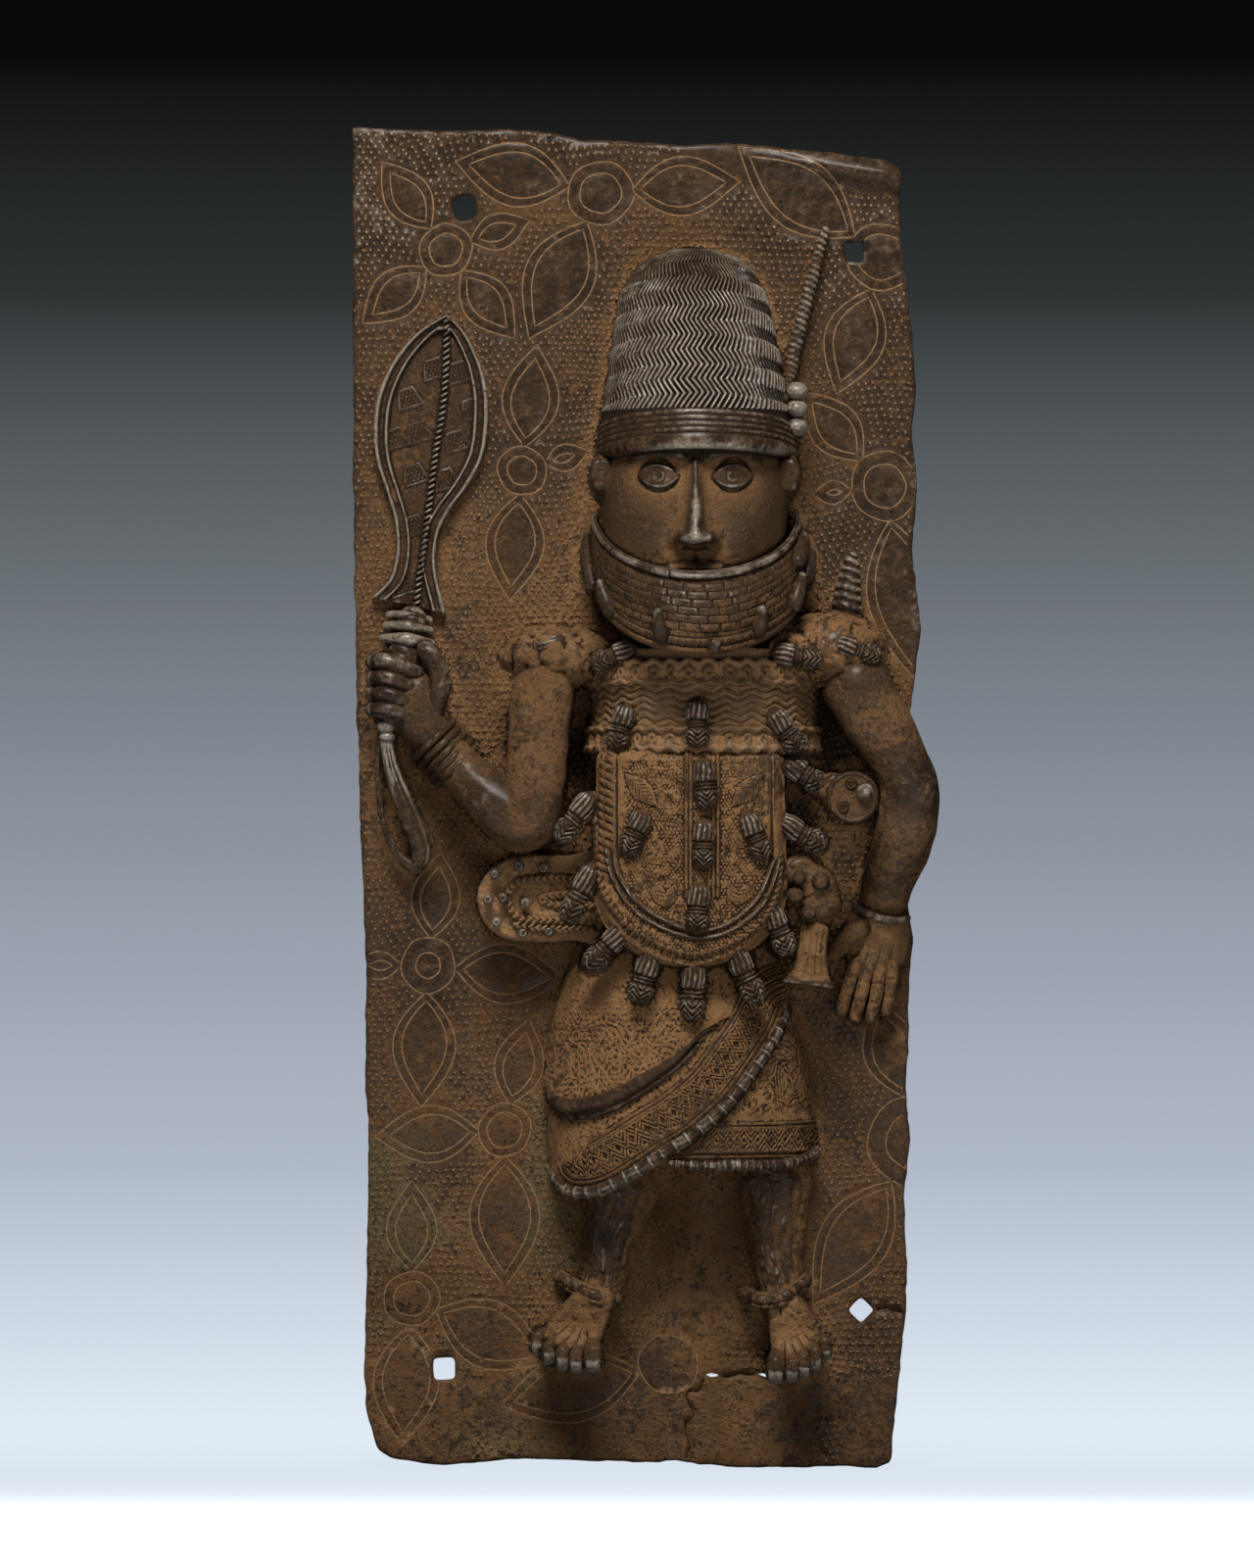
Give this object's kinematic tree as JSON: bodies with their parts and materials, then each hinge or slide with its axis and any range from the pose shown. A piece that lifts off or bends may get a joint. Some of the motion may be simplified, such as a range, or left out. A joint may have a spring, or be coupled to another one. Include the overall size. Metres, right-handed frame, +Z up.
{
  "type": "relief plaque",
  "caption": "Tall thin cast brass wall plaque with a warrior in high relief, raised sword in hand, on an engraved flower ground, with nail holes near its corners.",
  "frame": {"origin": "middle of the flat back face", "axes": "+Z up the plaque, +Y into the wall, so the figure faces -Y, +X to the right as seen from the front"},
  "size_m": [0.208, 0.0702, 0.4777],
  "materials": {
    "brass": "old cast brass, dark worn high points, tan earth in the recesses"
  },
  "bodies": {
    "root": {"plaque": "brass"}
  },
  "joints": []
}
